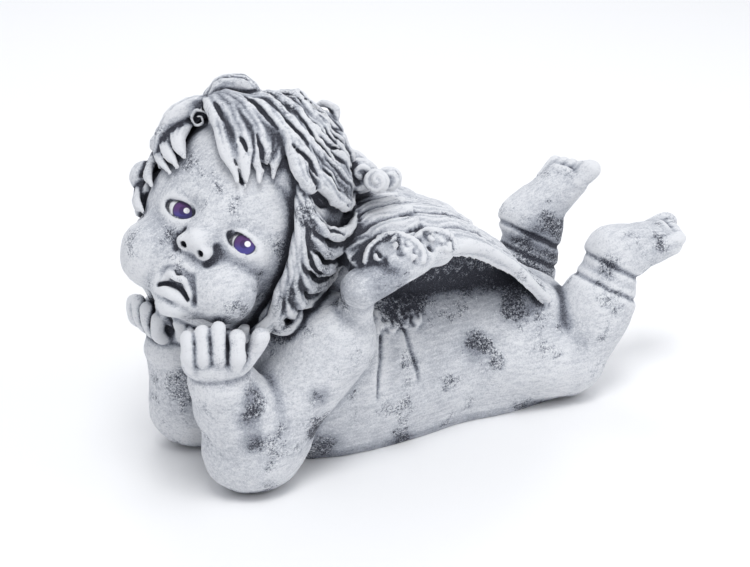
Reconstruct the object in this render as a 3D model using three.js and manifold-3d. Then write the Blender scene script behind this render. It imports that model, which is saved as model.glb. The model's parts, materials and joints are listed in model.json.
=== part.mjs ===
// A putto lying on its front, cast in stone in one piece: chin on both hands, elbows on the ground,
// folded wings over the back and the lower legs raised behind.
// Millimetres. +X runs from the head to the feet, -Y is the figure's left side, +Z is up.
// The figure stands on its own flat underside, at Z = 0.

import * as THREE from "three";
import { mergeVertices } from "three/addons/utils/BufferGeometryUtils.js";
import Module from "manifold-3d";

const wasm = await Module();
wasm.setup();

const V = (x, y, z) => new THREE.Vector3(x, y, z);
const radians = THREE.MathUtils.degToRad;
const mix = THREE.MathUtils.lerp;

// Driving sizes of the figure. The pose is kept as shares of its length, width and height.
const figureLength = 417;
const figureWidth = 165;
const figureHeight = 251;
const spot = (x, y, z) => V(x * figureLength, y * figureWidth, z * figureHeight);
const spots = (list) => list.map((shares) => spot(...shares));

const skull = { front: 60, side: 54, top: 69 };
const skullCentre = spot(-0.24, 0.021, 0.664);
const cheekSize = 22.5;
const eyeSize = 12;
const noseWidth = 15;
const lipWidth = 7.6;
const neckWidth = 62;
const backHeight = 97;
const chestWidth = 100;
const hipWidth = 104;
const upperArmWidth = 50;
const forearmWidth = 50;
const thighWidth = 60;
const calfWidth = 54;
const ankleWidth = 35;
const footWidth = 36;
const palmWidth = 46;
const fingerWidth = 11;
const wingEdgeWidth = 30;
const wingThickness = 8;
const featherRelief = 3;
const wingArch = { root: 14, tip: 5 };
const hairThickness = { right: 8.5, left: 15 };
const curlWidth = 9;
const lockRelief = 2.6;
const lockSweep = 0.5;
const lockCount = 20;

// Joints of the pose, on the left; the right side has its own where the pose differs
const neck = spot(-0.211, 0.012, 0.446);
const shoulder = spot(-0.144, -0.255, 0.359);
const elbow = spot(-0.278, -0.23, 0.108);
const leftPalm = spot(-0.357, -0.267, 0.402);
const rightPalm = spot(-0.331, 0.182, 0.398);
const hip = spot(0.201, -0.164, 0.151);
const knee = spot(0.319, -0.255, 0.112);
const leftAnkle = spot(0.412, -0.267, 0.382);
const rightAnkle = spot(0.403, 0.242, 0.371);
const leftSole = {
  heel: spot(0.384, -0.261, 0.462),
  toe: spot(0.547, -0.279, 0.446),
  facing: V(0.06, -0.1, 1),
  bigToe: 1,
};
const rightSole = {
  heel: spot(0.341, 0.248, 0.434),
  toe: spot(0.484, 0.224, 0.57),
  facing: V(-0.44, -0.2, 0.87),
  bigToe: -1,
};

// The head's own axes: towards the face, towards its left ear, towards the crown
const gaze = V(-0.592, -0.635, 0.497).normalize();
const earward = V(0.526, -0.771, -0.358);
earward.addScaledVector(gaze, -earward.dot(gaze)).normalize();
const crown = new THREE.Vector3().crossVectors(gaze, earward);
const headAxes = new THREE.Matrix4().makeBasis(gaze, earward, crown);

// A point in the head, from the skull's centre in shares of the skull: forward, to its left, up
const inSkull = (forward, left, up) => [forward * skull.front, left * skull.side, up * skull.top];
const fromCentre = (forward, left, up) => V(forward, left, up).applyMatrix4(headAxes).add(skullCentre);
const inHead = (...shares) => fromCentre(...inSkull(...shares));

// A point on the scalp, by degrees round from the face and up from its level
function onHead([yaw, pitch], lift = 0) {
  const y = radians(yaw);
  const p = radians(pitch);
  return fromCentre(
    (skull.front + lift) * Math.cos(p) * Math.cos(y),
    (skull.side + lift) * Math.cos(p) * Math.sin(y),
    (skull.top + lift) * Math.sin(p),
  );
}

const fromSkull = (p) => p.clone().sub(skullCentre).normalize();

// Side +1 is the figure's left, as the joints are written, and -1 its right
const onSide = (side, p) => V(p.x, side * p.y, p.z);

// Sizes given as shares of one size
const shares = (list, size) => list.map((share) => share * size);

// A list of values read smoothly at t from 0 to 1
function along(values, t) {
  const place = t * (values.length - 1);
  const i = Math.min(Math.floor(place), values.length - 2);
  const s = place - i;
  return mix(values[i], values[i + 1], s * s * (3 - 2 * s));
}

function closedGeometry(positions, faces) {
  const geometry = new THREE.BufferGeometry();
  geometry.setAttribute("position", new THREE.Float32BufferAttribute(positions, 3));
  geometry.setIndex(faces);
  return geometry;
}

// A closed limb of oval rings along a smooth curve, with a round dome at each end.
// facing is the direction, or a function of the ring's centre, that the depths are measured along.
function limb(points, widths, options = {}) {
  const { depths = widths, facing = V(0, 0, 1), sides = 9, steps = 6, domes = 1, reach = 1 } = options;
  const curve = new THREE.CatmullRomCurve3(points, false, "centripetal");
  const rings = [];
  for (let k = 0; k <= steps; k++) {
    rings.push({ t: k / steps, shift: 0, shrink: 1 });
  }
  for (let k = 1; k <= domes; k++) {
    const a = (k / (domes + 1)) * (Math.PI / 2);
    rings.unshift({ t: 0, shift: -Math.sin(a), shrink: Math.cos(a) });
    rings.push({ t: 1, shift: Math.sin(a), shrink: Math.cos(a) });
  }
  const place = ({ t, shift }) => {
    const tangent = curve.getTangent(t);
    const dome = shift * reach * Math.min(along(widths, t), along(depths, t));
    return [curve.getPoint(t).addScaledVector(tangent, dome), tangent];
  };
  const positions = place({ t: 0, shift: -1 })[0].toArray();
  for (const ring of rings) {
    const [centre, tangent] = place(ring);
    const out = typeof facing === "function" ? facing(centre) : facing;
    const side = new THREE.Vector3().crossVectors(out, tangent).normalize();
    const up = new THREE.Vector3().crossVectors(tangent, side);
    for (let j = 0; j < sides; j++) {
      const a = ((j + 0.5) / sides) * 2 * Math.PI;
      const vertex = centre
        .clone()
        .addScaledVector(side, Math.cos(a) * along(widths, ring.t) * ring.shrink)
        .addScaledVector(up, Math.sin(a) * along(depths, ring.t) * ring.shrink);
      positions.push(...vertex.toArray());
    }
  }
  positions.push(...place({ t: 1, shift: 1 })[0].toArray());
  const faces = [];
  const at = (k, j) => 1 + k * sides + (j % sides);
  const last = rings.length - 1;
  for (let j = 0; j < sides; j++) {
    faces.push(0, at(0, j + 1), at(0, j));
    faces.push(at(last, j), at(last, j + 1), 1 + rings.length * sides);
    for (let k = 0; k < last; k++) {
      faces.push(at(k, j), at(k, j + 1), at(k + 1, j + 1));
      faces.push(at(k, j), at(k + 1, j + 1), at(k + 1, j));
    }
  }
  return closedGeometry(positions, faces);
}

// An ellipsoid with its axes along basis, or along the figure's own
function ball(centre, radii, basis = new THREE.Matrix4(), detail = 9) {
  const geometry = new THREE.SphereGeometry(1, detail, Math.round(detail * 0.7));
  geometry.scale(...radii);
  geometry.applyMatrix4(basis);
  geometry.translate(...centre.toArray());
  return geometry;
}

// How far p lies outside an ellipsoid, less than zero inside it
function outside(p, { at, radii }) {
  const scaled = [0, 1, 2].map((n) => (p.getComponent(n) - at[n]) / radii[n]);
  const steep = [0, 1, 2].map((n) => scaled[n] / radii[n]);
  const size = Math.hypot(...scaled);
  return (size * (size - 1)) / Math.max(Math.hypot(...steep), 1e-6);
}

// The lesser of two distances, rounded over where they are within softness of each other
function soften(a, b, softness) {
  const h = Math.max(softness - Math.abs(a - b), 0) / softness;
  return Math.min(a, b) - (h * h * softness) / 4;
}

// Trunk: neck, ribs, belly and hips, widest low down and cut flat by the ground
function trunk() {
  const spine = spots([
    [-0.177, 0.006, 0.335],
    [-0.106, 0, 0.183],
    [-0.012, 0, 0.143],
    [0.108, 0, 0.139],
    [0.211, 0, 0.131],
    [0.283, 0, 0.108],
  ]);
  const tops = [1.22, 1.11, 1.04, 0.99, 0.99, 0.87];
  const depths = tops.map((share, i) => share * backHeight - spine[i].z);
  const throat = neckWidth / 2;
  const chest = chestWidth / 2;
  const hips = hipWidth / 2;
  const widths = [chest * 0.8, chest * 0.98, chest * 0.96, chest * 0.94, hips, hips * 0.9];
  const ridge = spots([
    [-0.158, 0, 0.47],
    [-0.048, 0, 0.534],
    [0.072, 0, 0.494],
    [0.192, 0, 0.406],
    [0.278, 0, 0.327],
  ]);
  const pieces = [
    limb(spine, widths, { depths, sides: 16, steps: 8, reach: 0.5 }),
    limb([inHead(-0.167, 0, -0.58), neck, spine[0]], shares([1.16, 1, 1.23], throat), {
      facing: V(1, 0, 0),
      sides: 10,
      steps: 3,
    }),
    limb(ridge, shares([0.4, 0.52, 0.52, 0.44, 0.24], chest), {
      depths: shares([0.76, 0.76, 0.64, 0.4, 0.16], chest),
      sides: 8,
      steps: 5,
    }),
  ];
  for (const side of [1, -1]) {
    pieces.push(ball(spot(0.245, side * -0.145, 0.231), shares([0.65, 0.52, 0.63], hips)));
  }
  return pieces;
}

function arm(side, palm) {
  const upper = upperArmWidth / 2;
  const fore = forearmWidth / 2;
  const joint = onSide(side, elbow);
  const top = onSide(side, shoulder);
  const bow = top.clone().lerp(joint, 0.5).add(spot(0, side * -0.012, 0));
  const wrist = palm.clone().add(spot(0.01, side * 0.012, -0.096));
  return [
    limb([top, bow, joint], shares([1.16, 1, 1], upper), {
      facing: V(1, 0, 0),
      sides: 9,
      steps: 3,
    }),
    limb([joint, joint.clone().lerp(wrist, 0.5), wrist], shares([1, 1.04, 0.84], fore), {
      facing: V(1, 0, 0),
      sides: 9,
      steps: 3,
    }),
    ball(joint.clone().add(spot(0.005, 0, 0)), shares([1.4, 1.08, 1.08], upper)),
  ];
}

function leg(side, ankle) {
  const thigh = thighWidth / 2;
  const calf = calfWidth / 2;
  const top = onSide(side, hip);
  const joint = onSide(side, knee);
  const middle = joint.clone().lerp(ankle, 0.5).add(spot(0.005, 0, -0.008));
  return [
    limb([top, top.clone().lerp(joint, 0.6), joint], [thigh, thigh, thigh * 0.86], { steps: 3 }),
    limb([joint, middle, ankle], [calf * 0.93, calf, ankleWidth / 2], {
      facing: V(1, 0, 0),
      sides: 10,
      steps: 4,
    }),
  ];
}

// A foot with its sole towards the sky: heel, instep, ball and five toes
function foot(ankle, { heel, toe, facing, bigToe }) {
  const ahead = toe.clone().sub(heel).normalize();
  const across = new THREE.Vector3().crossVectors(facing, ahead).normalize();
  const sole = new THREE.Vector3().crossVectors(ahead, across);
  const length = toe.distanceTo(heel);
  const half = footWidth / 2;
  const at = (share, up, out = 0) =>
    heel
      .clone()
      .addScaledVector(ahead, share * length)
      .addScaledVector(sole, up * half)
      .addScaledVector(across, out * half);
  const pieces = [
    limb([at(0.14, -0.72), at(0.46, -0.67), at(0.78, -0.5)], shares([0.86, 0.8, 1], half), {
      depths: shares([0.72, 0.61, 0.5], half),
      facing: sole,
      sides: 8,
      steps: 3,
    }),
    limb([ankle, at(0.3, -0.89)], shares([0.5, 0.44], ankleWidth), { sides: 8, steps: 1, facing: ahead }),
  ];
  for (let i = 0; i < 5; i++) {
    const out = bigToe * mix(0.74, -0.82, i / 4);
    const tip = mix(1, 0.86, i / 4);
    const thick = half * (i === 0 ? 0.42 : mix(0.31, 0.27, i / 4));
    const ends = [at(tip - 0.2, -0.44, out * 0.94), at(tip, -0.39, out)];
    pieces.push(limb(ends, [thick, thick], { sides: 5, steps: 1 }));
  }
  return pieces;
}

// A hand held up as a cup for the chin: palm, four fingers and a thumb
function hand({ palm, across, reach }) {
  const over = across.clone().normalize();
  const up = reach.clone().addScaledVector(over, -reach.dot(over)).normalize();
  const out = new THREE.Vector3().crossVectors(over, up);
  const half = palmWidth / 2;
  const thick = fingerWidth / 2;
  const basis = new THREE.Matrix4().makeBasis(over, up, out);
  const at = (a, b, c) => V(a, b, c).multiplyScalar(half).applyMatrix4(basis).add(palm);
  const pieces = [ball(at(0, -0.22, 0.09), shares([1, 0.74, 0.74], half), basis, 10)];
  const spread = [-0.84, -0.37, 0.2, 0.72];
  const tall = [0.52, 0.7, 0.7, 0.52];
  for (let i = 0; i < 4; i++) {
    const a = spread[i];
    const bones = [at(a * 0.72, -0.43, 0.17), at(a, 0.17, 0.52), at(a * 1.02, tall[i], 0.3)];
    pieces.push(limb(bones, shares([1, 1, 0.9], thick), { facing: out, sides: 6, steps: 2 }));
  }
  pieces.push(
    limb([at(0.8, -0.09, 0.09), at(1.15, 0.22, 0.09), at(1.25, 0.52, 0)], shares([1.45, 1.27, 1.09], thick), {
      facing: out,
      sides: 6,
      steps: 2,
    }),
  );
  return pieces;
}

// Skull, round cheeks, muzzle and chin as one rounded-over surface with hollows for the eyes
function headSurface() {
  const forms = [{ at: [0, 0, 0], radii: inSkull(1, 1, 1) }];
  for (const side of [1, -1]) {
    forms.push({ at: inSkull(0.583, side * 0.389, -0.652), radii: shares([1, 1, 1], cheekSize) });
  }
  forms.push({ at: inSkull(0.7, 0, -0.667), radii: shares([0.84, 0.67, 0.8], cheekSize) });
  forms.push({ at: inSkull(0.65, 0, -0.87), radii: shares([0.71, 0.67, 0.58], cheekSize) });
  const sockets = [1, -1].map((side) => ({
    at: inSkull(1.017, side * 0.389, -0.203),
    radii: shares([0.67, 1.08, 0.75], eyeSize),
  }));
  const distance = (p) => {
    const solid = forms.map((form) => outside(p, form)).reduce((a, b) => soften(a, b, cheekSize * 0.4));
    const hollows = sockets.map((hollow) => -outside(p, hollow));
    return hollows.reduce((a, b) => -soften(-a, -b, eyeSize * 0.42), solid);
  };
  const geometry = new THREE.SphereGeometry(1, 24, 17);
  geometry.rotateX(Math.PI / 2);
  const points = geometry.attributes.position;
  for (let i = 0; i < points.count; i++) {
    const direction = new THREE.Vector3().fromBufferAttribute(points, i).normalize();
    let near = skull.front / 3;
    let far = skull.front * 2;
    for (let step = 0; step < 24; step++) {
      const half = (near + far) / 2;
      if (distance(direction.clone().multiplyScalar(half)) < 0) near = half;
      else far = half;
    }
    points.setXYZ(i, ...fromCentre(...direction.multiplyScalar(near).toArray()).toArray());
  }
  return geometry;
}

// Snub nose, eyeballs, lids and lips
function face() {
  const bridge = [inHead(0.833, 0, -0.188), inHead(0.933, 0, -0.333), inHead(1.025, 0, -0.42)];
  const upperLip = [
    inHead(0.95, -0.204, -0.797),
    inHead(1.033, -0.111, -0.696),
    inHead(1.058, 0, -0.667),
    inHead(1.033, 0.111, -0.696),
    inHead(0.95, 0.204, -0.797),
  ];
  const lowerLip = [inHead(0.9, -0.13, -0.884), inHead(0.967, 0, -0.841), inHead(0.9, 0.13, -0.884)];
  const pieces = [
    headSurface(),
    limb(bridge, shares([0.33, 0.37, 0.5], noseWidth), { facing: gaze, sides: 8, steps: 2 }),
    limb(upperLip, shares([0.34, 0.45, 0.5, 0.45, 0.34], lipWidth), { facing: gaze, sides: 6, steps: 6 }),
    limb(lowerLip, shares([0.34, 0.47, 0.34], lipWidth), { facing: gaze, sides: 6, steps: 4 }),
  ];
  for (const side of [1, -1]) {
    pieces.push(ball(inHead(0.992, side * 0.122, -0.449), shares([0.37, 0.3, 0.32], noseWidth), headAxes, 8));
    pieces.push(ball(inHead(0.75, side * 0.389, -0.217), shares([1, 1.04, 0.96], eyeSize), headAxes, 10));
    const lid = [
      inHead(0.8, side * 0.167, -0.203),
      inHead(0.933, side * 0.352, -0.08),
      inHead(0.767, side * 0.63, -0.188),
    ];
    pieces.push(limb(lid, shares([0.13, 0.22, 0.13], eyeSize), { facing: gaze, sides: 6, steps: 5 }));
  }
  return pieces;
}

// The dark opening between the lips
function mouth() {
  const path = [inHead(0.983, -0.148, -0.812), inHead(1.1, 0, -0.746), inHead(0.983, 0.148, -0.812)];
  return limb(path, shares([0.21, 0.34, 0.21], lipWidth), { facing: gaze, sides: 6, steps: 4 });
}

// A ring-shaped curl lying on the hair
function curl(place, { size, lift, turns, thick, start = 0 }) {
  const radius = size * curlWidth;
  const width = thick * curlWidth;
  const centre = onHead(place, lift * hairThickness.left);
  const out = fromSkull(centre);
  const side = new THREE.Vector3().crossVectors(crown, out).normalize();
  const up = new THREE.Vector3().crossVectors(out, side);
  const path = [];
  const count = 8;
  for (let i = 0; i <= count; i++) {
    const t = i / count;
    const a = radians(start) + t * turns * 2 * Math.PI;
    const r = radius * mix(1, 0.5, t);
    path.push(
      centre
        .clone()
        .addScaledVector(side, Math.cos(a) * r)
        .addScaledVector(up, Math.sin(a) * r)
        .addScaledVector(out, t * width * 0.3),
    );
  }
  return limb(path, [width * 0.35, width / 2, width / 2, width * 0.3], { facing: out, sides: 5, steps: 8 });
}

// The oval of bare skin, in degrees round from the face and up from its level
const sunkUnderSkin = 7;
const rows = 11;
const faceOval = { side: radians(57), middle: radians(-10), up: radians(30), down: radians(90), tilt: 0.15 };

// The hair as one shell around the skull, fluted into locks that sweep out from the whorl.
// It sinks under the skin inside the face's oval, where the ends of the locks make the fringe.
function hairShell() {
  const whorl = fromSkull(onHead([-46, 44]));
  const side = new THREE.Vector3().crossVectors(whorl, crown).normalize();
  const up = new THREE.Vector3().crossVectors(side, whorl);
  const positions = [];
  const faces = [];
  const place = (row, column) => {
    const theta = (row / rows) * Math.PI;
    const phi = (column / lockCount) * Math.PI + lockSweep * Math.sin(theta / 2);
    const direction = whorl
      .clone()
      .multiplyScalar(Math.cos(theta))
      .addScaledVector(side, Math.sin(theta) * Math.cos(phi))
      .addScaledVector(up, Math.sin(theta) * Math.sin(phi));
    const [f, l, u] = [gaze, earward, crown].map((axis) => direction.dot(axis));
    const scalp = 1 / Math.hypot(f / skull.front, l / skull.side, u / skull.top);
    const yaw = Math.atan2(l, f);
    const pitch = Math.asin(u);
    const height = pitch > faceOval.middle ? faceOval.up : faceOval.down;
    const above = (pitch - faceOval.middle + faceOval.tilt * yaw) / height;
    const aside = yaw / (faceOval.side + Math.max(0, -pitch) / 2);
    const oval = Math.cbrt(Math.abs(aside) ** 3 + Math.abs(above) ** 3);
    const cover = THREE.MathUtils.smoothstep(oval, 0.92, 1.1);
    const thick = mix(hairThickness.right, hairThickness.left, THREE.MathUtils.smoothstep(l, -0.7, 0.3));
    const ridge = column % 2 === 1 ? -1 : 1;
    const relief = ridge * lockRelief * Math.sin(Math.min(theta * 2, Math.PI / 2));
    const lift = mix(-sunkUnderSkin, thick + relief, cover);
    return skullCentre.clone().addScaledVector(direction, scalp + lift);
  };
  const around = lockCount * 2;
  positions.push(...place(0, 0).toArray());
  for (let row = 1; row < rows; row++) {
    for (let column = 0; column < around; column++) {
      positions.push(...place(row, column).toArray());
    }
  }
  positions.push(...place(rows, 0).toArray());
  const at = (row, column) => 1 + (row - 1) * around + (column % around);
  for (let column = 0; column < around; column++) {
    faces.push(0, at(1, column + 1), at(1, column));
    faces.push(at(rows - 1, column), at(rows - 1, column + 1), 1 + (rows - 1) * around);
    for (let row = 1; row < rows - 1; row++) {
      faces.push(at(row, column), at(row + 1, column + 1), at(row + 1, column));
      faces.push(at(row, column), at(row, column + 1), at(row + 1, column + 1));
    }
  }
  return closedGeometry(positions, faces);
}

function hair() {
  const nape = [inHead(-0.5, 0.778, 0.841), inHead(-0.333, 1.037, 0.855), inHead(-0.183, 1.25, 0.797)];
  return [
    limb(nape, shares([1.2, 1, 0.9], curlWidth), { facing: crown, sides: 7, steps: 2 }),
    hairShell(),
    curl([-41, 28], { size: 0.72, lift: 0.4, thick: 0.8, turns: 1.1 }),
    curl([82, 79], { size: 1.33, lift: 1, thick: 1, turns: 0.95 }),
    curl([-80, -6], { size: 0.8, lift: 0.6, thick: 1.2, turns: 0.9 }),
    curl([75, -30], { size: 1.44, lift: 0.8, thick: 1, turns: 0.9, start: 60 }),
    ball(onHead([-62, 50], curlWidth), shares([1.78, 1.9, 1.33], curlWidth), headAxes),
    ball(inHead(-0.5, 0.778, 0.841), shares([2, 1.78, 1.67], curlWidth), headAxes),
    ball(inHead(-0.133, 1.185, 0.841), shares([1.11, 1.11, 1.11], curlWidth)),
    ball(inHead(-0.233, 1.315, 0.754), shares([1, 1, 1], curlWidth)),
  ];
}

const wingEdge = spots([
  [-0.137, -0.412, 0.522],
  [-0.053, -0.424, 0.566],
  [0.048, -0.4, 0.574],
  [0.153, -0.352, 0.486],
  [0.264, -0.285, 0.319],
]);
const wingRoot = spots([
  [-0.129, -0.006, 0.57],
  [-0.029, -0.012, 0.637],
  [0.082, -0.018, 0.586],
  [0.182, -0.048, 0.47],
  [0.283, -0.145, 0.319],
]);

// A wing folded over the back, with its round leading edge held out past the ribs.
// Rows of feathers lie lengthwise as low ridges, and step down twice towards the tips.
function wing(side) {
  const edge = wingEdge.map((p) => onSide(side, p));
  const ridge = wingRoot.map((p) => onSide(side, p));
  const outer = new THREE.CatmullRomCurve3(edge);
  const inner = new THREE.CatmullRomCurve3(ridge);
  const feathers = 3;
  const rows = 7;
  const arch = (u, v) => Math.sin(Math.PI * u) * mix(wingArch.root, wingArch.tip, v);
  const top = (u, v) => {
    const across = Math.round(u * feathers * 2);
    const shaft = across % 2 === 1 ? featherRelief : 0;
    const tier = v < 0.35 ? 2 * featherRelief : v < 0.65 ? featherRelief : 0;
    return inner.getPoint(v).lerp(outer.getPoint(v), u).add(V(0, 0, arch(u, v) + shaft + tier));
  };
  const positions = [];
  const columns = feathers * 2 + 1;
  for (const face of [0, 1]) {
    for (let j = 0; j <= rows; j++) {
      for (let i = 0; i < columns; i++) {
        const u = i / (columns - 1);
        const v = j / rows;
        const under = inner.getPoint(v).lerp(outer.getPoint(v), u);
        under.z += arch(u, v) - wingThickness;
        positions.push(...(face ? under : top(u, v)).toArray());
      }
    }
  }
  const faces = [];
  const turn = side < 0;
  const quad = (a, b, c, d) => (turn ? faces.push(a, c, b, a, d, c) : faces.push(a, b, c, a, c, d));
  const half = columns * (rows + 1);
  for (let j = 0; j < rows; j++) {
    for (let i = 0; i < columns - 1; i++) {
      const a = j * columns + i;
      quad(a, a + 1, a + columns + 1, a + columns);
      quad(half + a, half + a + columns, half + a + columns + 1, half + a + 1);
    }
    const a = j * columns;
    const b = a + columns - 1;
    quad(a, a + columns, half + a + columns, half + a);
    quad(b, half + b, half + b + columns, b + columns);
  }
  for (let i = 0; i < columns - 1; i++) {
    const end = rows * columns + i;
    quad(i, half + i, half + i + 1, i + 1);
    quad(end, end + 1, half + end + 1, half + end);
  }
  const rim = wingEdgeWidth / 2;
  const prop = [onSide(side, spot(-0.125, -0.364, 0.486)), onSide(side, spot(-0.125, -0.315, 0.39))];
  return [
    closedGeometry(positions, faces),
    limb(edge, shares([1, 0.8, 0.5, 0.32, 0.25], rim), { sides: 7, steps: 5 }),
    ball(onSide(side, spot(-0.077, -0.339, 0.598)), shares([1.6, 1, 0.73], rim)),
    limb(prop, shares([0.73, 0.8], rim), { facing: V(1, 0, 0), sides: 8, steps: 1 }),
  ];
}

const pieces = [
  ...trunk(),
  ...arm(1, leftPalm),
  ...arm(-1, rightPalm),
  ...leg(1, leftAnkle),
  ...leg(-1, rightAnkle),
  ...foot(leftAnkle, leftSole),
  ...foot(rightAnkle, rightSole),
  ...hand({ palm: leftPalm, across: V(0.84, -0.54, 0), reach: V(-0.1, 0, 1) }),
  ...hand({ palm: rightPalm, across: V(0.1, -1, -0.1), reach: V(-0.46, -0.36, 0.81) }),
  ...face(),
  ...hair(),
  ...wing(1),
  ...wing(-1),
];

function solidOf(geometry) {
  geometry.deleteAttribute("normal");
  geometry.deleteAttribute("uv");
  const merged = mergeVertices(geometry, 1e-3);
  return new wasm.Manifold(
    new wasm.Mesh({
      numProp: 3,
      vertProperties: merged.attributes.position.array,
      triVerts: new Uint32Array(merged.index.array),
    }),
  );
}

const ground = new THREE.BoxGeometry(figureLength * 2, figureWidth * 2, figureHeight);
ground.translate(0, 0, -figureHeight / 2);
let cast = pieces.map(solidOf).reduce((whole, piece) => whole.add(piece));
cast = cast.subtract(solidOf(ground)).subtract(solidOf(mouth()));

const mesh = cast.getMesh();
const geometry = new THREE.BufferGeometry();
geometry.setAttribute("position", new THREE.BufferAttribute(mesh.vertProperties, 3));
geometry.setIndex(new THREE.BufferAttribute(mesh.triVerts, 1));
geometry.computeBoundingBox();
const middle = geometry.boundingBox.getCenter(V(0, 0, 0));
geometry.translate(-middle.x, -middle.y, 0);
geometry.computeVertexNormals();

const stone = new THREE.MeshStandardMaterial({ color: 0xc9ccd2, roughness: 0.9, metalness: 0 });
const putto = new THREE.Mesh(geometry, stone);
putto.name = "putto";

const figure = new THREE.Group();
figure.add(putto);

export default figure;
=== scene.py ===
"""A cast stone putto lying on its front, chin on both hands: its carving and its painted finish.

The figure is modelled like clay, as signed distances in millimetres on a grid, in its own axes:
+X runs from the head to the feet, -Y is its left side and +Z is up, from a point under the belly.
"""

import json
import math

import bpy
import numpy as np
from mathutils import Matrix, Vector


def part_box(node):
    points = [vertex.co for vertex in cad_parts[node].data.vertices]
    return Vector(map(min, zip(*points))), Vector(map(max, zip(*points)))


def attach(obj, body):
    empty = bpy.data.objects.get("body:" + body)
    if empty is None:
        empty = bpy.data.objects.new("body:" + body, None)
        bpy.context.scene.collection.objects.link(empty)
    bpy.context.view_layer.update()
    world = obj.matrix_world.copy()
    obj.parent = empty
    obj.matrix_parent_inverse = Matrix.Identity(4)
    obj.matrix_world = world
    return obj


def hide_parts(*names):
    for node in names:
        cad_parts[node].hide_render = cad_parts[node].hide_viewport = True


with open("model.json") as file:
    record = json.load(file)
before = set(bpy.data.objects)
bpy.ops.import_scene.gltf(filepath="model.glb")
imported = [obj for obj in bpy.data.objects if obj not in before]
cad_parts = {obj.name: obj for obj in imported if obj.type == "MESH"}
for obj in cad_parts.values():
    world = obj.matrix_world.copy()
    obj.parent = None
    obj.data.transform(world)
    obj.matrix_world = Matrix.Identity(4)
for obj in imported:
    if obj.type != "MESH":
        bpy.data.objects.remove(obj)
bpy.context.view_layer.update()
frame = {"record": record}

bl_info = {
    "name": "Cast stone putto",
    "version": (1, 0, 0),
    "blender": (4, 5, 0),
    "location": "3D View > Sidebar > Putto",
    "description": "Models the carving and the dry-brushed finish of a stone putto",
    "category": "Object",
}

MM = 0.001
FAR = 20.0  # clay value, in mm, of the empty space away from the figure
FIGURE_ORIGIN = np.array(frame["record"]["mounts"][0]["pos_m"]) / MM

# The pose, in mm, with the left side's joints first where both sides share them
SKULL = np.array([60.0, 54.0, 69.0])
SKULL_CENTRE = np.array([-100.0, 3.5, 166.7])
NECK = (-88, 2, 112)
SHOULDER = (-60, -42, 90)
ELBOW = (-116, -38, 27)
LEFT_PALM = (-144.5, -47, 106)
RIGHT_PALM = (-138, 30, 100)
HIP = (84, -27, 38)
KNEE = (133, -42, 28)
LEFT_ANKLE = (172, -44, 96)
RIGHT_ANKLE = (168, 40, 93)


def unit(vector):
    vector = np.asarray(vector, float)
    return vector / np.linalg.norm(vector)


# The head's own axes: towards the face, towards its left ear, towards the crown
GAZE = unit((-0.592, -0.635, 0.497))
EARWARD = np.array([0.526, -0.771, -0.358])
EARWARD = unit(EARWARD - GAZE * (EARWARD @ GAZE))
CROWN = np.cross(GAZE, EARWARD)
HEAD_AXES = np.array([GAZE, EARWARD, CROWN])
WHORL = (-46, 44)


def in_head(forward, left, up):
    """A point in the head, in mm from the skull's centre."""
    return SKULL_CENTRE + np.array([forward, left, up]) @ HEAD_AXES


def on_head(yaw, pitch, lift=0.0):
    """A point lift above the scalp, by degrees round from the face and up from its level."""
    y, p = math.radians(yaw), math.radians(pitch)
    shape = np.array([math.cos(p) * math.cos(y), math.cos(p) * math.sin(y), math.sin(p)])
    return in_head(*((SKULL + lift) * shape))


def on_side(side, point):
    """side 1 is the figure's left, as the joints are written, and -1 its right."""
    return np.array([point[0], side * point[1], point[2]], float)


def between(a, b, t, shift=(0, 0, 0)):
    return np.asarray(a, float) * (1 - t) + np.asarray(b, float) * t + np.asarray(shift, float)


def smooth_step(x, low, high):
    t = np.clip((x - low) / (high - low), 0, 1)
    return t * t * (3 - 2 * t)


def along(values, t):
    """A list of values read smoothly at t from 0 to 1."""
    values = np.asarray(values, float)
    place = np.clip(t, 0, 1) * (len(values) - 1)
    i = np.minimum(place.astype(int), len(values) - 2)
    s = place - i
    s = s * s * (3 - 2 * s)
    return values[i] * (1 - s) + values[i + 1] * s


def smooth_curve(points, count):
    """count + 1 points along a centripetal curve through the given ones."""
    p = np.asarray(points, float)
    p = np.vstack([2 * p[0] - p[1], p, 2 * p[-1] - p[-2]])
    gap = np.sqrt(np.linalg.norm(np.diff(p, axis=0), axis=1))
    place = np.linspace(0, 1, count + 1) * (len(p) - 3)
    i = np.minimum(place.astype(int), len(p) - 4)
    s = (place - i)[:, None]
    before, here, after = gap[i][:, None], gap[i + 1][:, None], gap[i + 2][:, None]
    p0, p1, p2, p3 = p[i], p[i + 1], p[i + 2], p[i + 3]
    out = ((p1 - p0) / before - (p2 - p0) / (before + here) + (p2 - p1) / here) * here
    into = ((p2 - p1) / here - (p3 - p1) / (here + after) + (p3 - p2) / after) * here
    s2, s3 = s * s, s * s * s
    return (
        p1 * (2 * s3 - 3 * s2 + 1) + out * (s3 - 2 * s2 + s) + p2 * (3 * s2 - 2 * s3) + into * (s3 - s2)
    )


def soft_min(a, b, softness):
    """The lesser of two distances, rounded over where they are within softness of each other."""
    if softness <= 0:
        return np.minimum(a, b)
    h = np.maximum(softness - np.abs(a - b), 0) / softness
    return np.minimum(a, b) - h * h * softness / 4


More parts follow.
